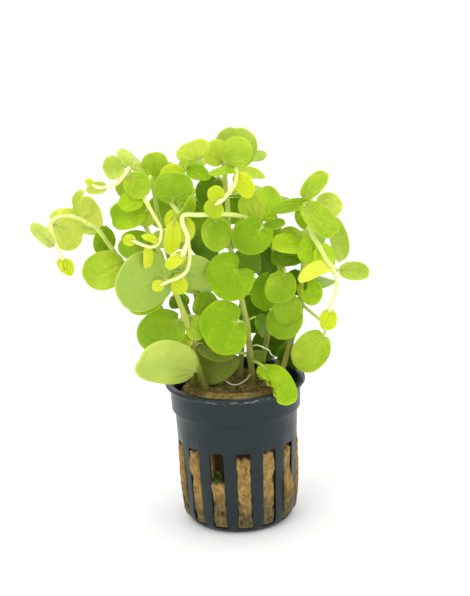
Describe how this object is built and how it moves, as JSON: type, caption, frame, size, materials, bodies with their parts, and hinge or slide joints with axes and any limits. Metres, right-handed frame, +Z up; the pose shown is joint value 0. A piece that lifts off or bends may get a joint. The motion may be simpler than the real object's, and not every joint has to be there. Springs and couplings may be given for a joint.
{
  "type": "potted lindernia rotundifolia",
  "caption": "Young aquarium plant with round leaves on drooping stems, growing from a plug of mineral wool in a slotted net pot.",
  "frame": {"origin": "centre of the pot's foot, in the plane that it stands on", "axes": "+Z up; -Y toward the viewer of the side that the plant shows best; +X to that viewer's right"},
  "size_m": [0.1128, 0.0617, 0.1411],
  "materials": {
    "pot_plastic": "satin charcoal moulded plastic with light scuffs",
    "wool": "matt tan mineral wool with loose fibres and a little moss",
    "stem": "smooth fleshy stem, olive at the foot and cream at the tip",
    "leaf_bright": "fresh leaf in full light, semi-gloss with radiating veins",
    "leaf_green": "leaf upper side, semi-gloss with radiating veins",
    "leaf_dark": "shaded leaf upper side, semi-gloss",
    "leaf_underside": "leaf underside, pale and matt, with raised veins",
    "leaf_young": "young yellow-green leaf, semi-gloss",
    "leaf_olive": "old leaf near the pot, dull olive"
  },
  "bodies": {
    "root": {"leaf_bright_left": "leaf_bright", "leaf_centre_dark": "leaf_dark", "leaf_centre_left": "leaf_green", "leaf_centre_round": "leaf_bright", "leaf_far_left_back": "leaf_underside", "leaf_far_left_broad": "leaf_underside", "leaf_far_left_under": "leaf_underside", "leaf_far_left_upright": "leaf_green", "leaf_folded_hanging": "leaf_green", "leaf_front_arched": "leaf_green", "leaf_front_bright": "leaf_bright", "leaf_front_kidney": "leaf_bright", "leaf_front_low_grey": "leaf_olive", "leaf_left_behind": "leaf_dark", "leaf_left_below": "leaf_green", "leaf_left_folded": "leaf_green", "leaf_left_inner": "leaf_underside", "leaf_left_large": "leaf_underside", "leaf_left_outer": "leaf_green", "leaf_low_left": "leaf_green", "leaf_low_left_underside": "leaf_underside", "leaf_low_olive": "leaf_olive", "leaf_pair_left": "leaf_green", "leaf_pair_right": "leaf_bright", "leaf_right_arm": "leaf_green", "leaf_right_behind": "leaf_bright", "leaf_right_big": "leaf_green", "leaf_right_bright": "leaf_bright", "leaf_right_crown": "leaf_green", "leaf_right_front": "leaf_green", "leaf_right_low_round": "leaf_green", "leaf_right_round": "leaf_green", "leaf_right_tip_side": "leaf_underside", "leaf_right_upper": "leaf_green", "leaf_round_left": "leaf_green", "leaf_top_back": "leaf_underside", "leaf_top_fan": "leaf_green", "leaf_top_front": "leaf_green", "leaf_top_left_right": "leaf_green", "leaf_top_left_side": "leaf_underside", "leaf_top_left_up": "leaf_underside", "leaf_top_middle": "leaf_green", "leaf_top_upright": "leaf_green", "leaf_torn": "leaf_bright", "leaf_upper_dark": "leaf_dark", "leaf_young_hanging": "leaf_young", "leaf_young_round": "leaf_young", "net_pot": "pot_plastic", "stem_arch": "stem", "stem_back_left": "stem", "stem_back_mid": "stem", "stem_back_right": "stem", "stem_far_left": "stem", "stem_front": "stem", "stem_front_left": "stem", "stem_left_mid": "stem", "stem_mid_hidden": "stem", "stem_right_long": "stem", "stem_right_top": "stem", "wool_plug": "wool"}
  },
  "joints": []
}
